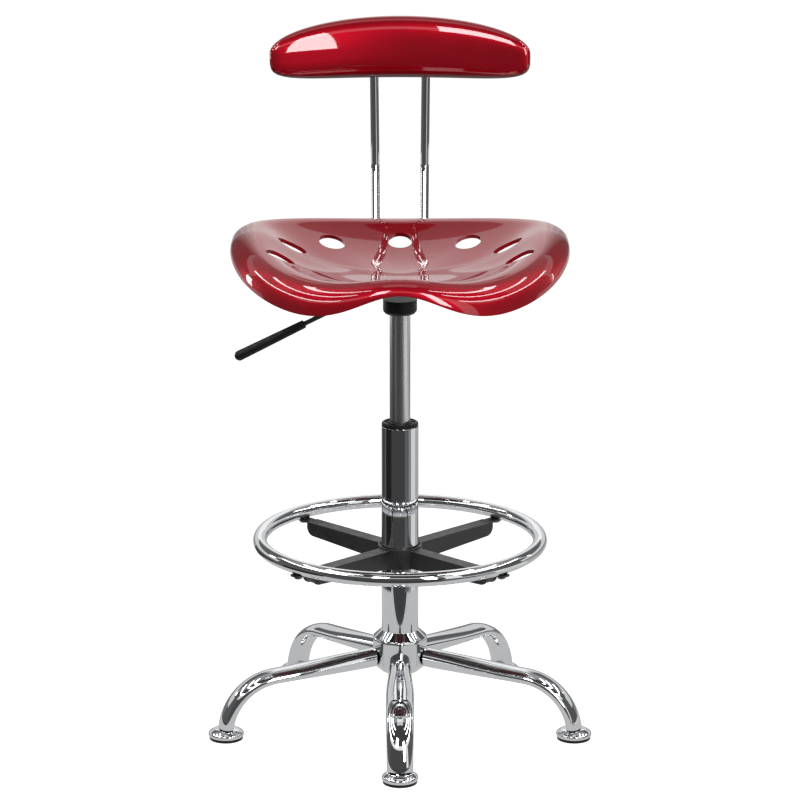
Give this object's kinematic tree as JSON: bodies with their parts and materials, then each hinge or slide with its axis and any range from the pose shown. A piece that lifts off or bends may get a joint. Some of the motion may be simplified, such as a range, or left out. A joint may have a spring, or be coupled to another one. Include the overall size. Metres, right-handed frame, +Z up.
{
  "type": "drafting stool",
  "caption": "Swivel drafting stool with a dished red shell seat, low backrest on bent posts, gas lift with release lever, sliding foot ring and chrome star base on glides.",
  "frame": {"origin": "on the floor under the column axis", "axes": "+Z up along the column, the sitter faces -Y, +X to the right when the stool is seen from the front"},
  "size_m": [0.5164, 0.5311, 0.9329],
  "materials": {
    "red_shell": "high gloss wine red",
    "chrome": "bright polished chrome plate",
    "steel": "zinc plated or ground",
    "lift_steel": "ground dark steel",
    "black_enamel": "satin black",
    "grey_enamel": "satin grey green",
    "black_plastic": "fine satin",
    "rubber": "matte"
  },
  "bodies": {
    "base": {"base_hub": "chrome", "leg_plugs": "steel", "column_tube": "chrome", "column_floor": "steel", "column_bush": "black_plastic", "lower_race": "steel", "bearing_balls": "steel", "leg_1": "chrome", "leg_2": "chrome", "leg_3": "chrome", "leg_4": "chrome", "leg_5": "chrome"},
    "gas_rod": {"piston_rod": "steel", "rod_clip": "steel", "rod_buffer": "rubber", "piston": "steel", "upper_race": "steel"},
    "seat": {"gas_cylinder": "lift_steel", "rod_gland": "steel", "valve_body": "steel", "seat_socket": "grey_enamel", "socket_cap": "black_plastic", "seat_plate": "black_enamel", "lever_pivot": "steel", "seat_bolts": "steel", "post_bolts": "steel", "seat_shell": "red_shell", "back_post_left": "chrome", "back_post_right": "chrome", "back_shell": "red_shell", "back_cover": "red_shell", "back_screws": "steel"},
    "lever": {"lever_arm": "black_enamel", "lever_grip": "black_plastic"},
    "release_pin": {"release_pin": "steel"},
    "foot_ring": {"foot_ring": "chrome", "ring_bolts": "steel", "ring_collar": "black_enamel", "ring_liner": "black_plastic", "ring_arm_1": "black_enamel", "ring_arm_2": "black_enamel", "ring_arm_3": "black_enamel", "ring_arm_4": "black_enamel"},
    "clamp_knob": {"clamp_knob": "black_plastic", "clamp_screw": "steel"},
    "glide_1": {"glide_cap_1": "chrome", "glide_pad_1": "black_plastic", "glide_stem_1": "steel"},
    "glide_2": {"glide_cap_2": "chrome", "glide_pad_2": "black_plastic", "glide_stem_2": "steel"},
    "glide_3": {"glide_cap_3": "chrome", "glide_pad_3": "black_plastic", "glide_stem_3": "steel"},
    "glide_4": {"glide_cap_4": "chrome", "glide_pad_4": "black_plastic", "glide_stem_4": "steel"},
    "glide_5": {"glide_cap_5": "chrome", "glide_pad_5": "black_plastic", "glide_stem_5": "steel"}
  },
  "joints": [
    {"name": "seat_swivel", "type": "hinge", "parent": "base", "child": "gas_rod", "pos_m": [0, 0, 0.3], "axis": [0, 0, 1], "continuous": true},
    {"name": "seat_height", "type": "slide", "parent": "gas_rod", "child": "seat", "axis": [0, 0, 1], "range_m": [-0.14, 0]},
    {"name": "height_lever", "type": "hinge", "parent": "seat", "child": "lever", "pos_m": [-0.031, 0, 0.6039], "axis": [0, 1, 0], "range_deg": [0, 8], "stiffness_Nm_per_rad": 1.5, "springref_deg": -5.73},
    {"name": "pin_press", "type": "slide", "parent": "seat", "child": "release_pin", "axis": [0, 0, 1], "range_m": [-0.005, 0]},
    {"name": "ring_height", "type": "slide", "parent": "base", "child": "foot_ring", "axis": [0, 0, 1], "range_m": [-0.085, 0.08]},
    {"name": "clamp_turn", "type": "hinge", "parent": "foot_ring", "child": "clamp_knob", "pos_m": [0, 0.05, 0.23625], "axis": [0, 1, 0], "continuous": true},
    {"name": "glide_turn_1", "type": "hinge", "parent": "base", "child": "glide_1", "pos_m": [0, -0.24621, 0.01], "axis": [0, 0, 1], "continuous": true},
    {"name": "glide_turn_2", "type": "hinge", "parent": "base", "child": "glide_2", "pos_m": [0.23416, -0.07608, 0.01], "axis": [0, 0, 1], "continuous": true},
    {"name": "glide_turn_3", "type": "hinge", "parent": "base", "child": "glide_3", "pos_m": [0.14472, 0.19919, 0.01], "axis": [0, 0, 1], "continuous": true},
    {"name": "glide_turn_4", "type": "hinge", "parent": "base", "child": "glide_4", "pos_m": [-0.14472, 0.19919, 0.01], "axis": [0, 0, 1], "continuous": true},
    {"name": "glide_turn_5", "type": "hinge", "parent": "base", "child": "glide_5", "pos_m": [-0.23416, -0.07608, 0.01], "axis": [0, 0, 1], "continuous": true}
  ],
  "couplings": [
    {"joint": "pin_press", "follows": "height_lever", "m_per_rad": -0.031}
  ]
}
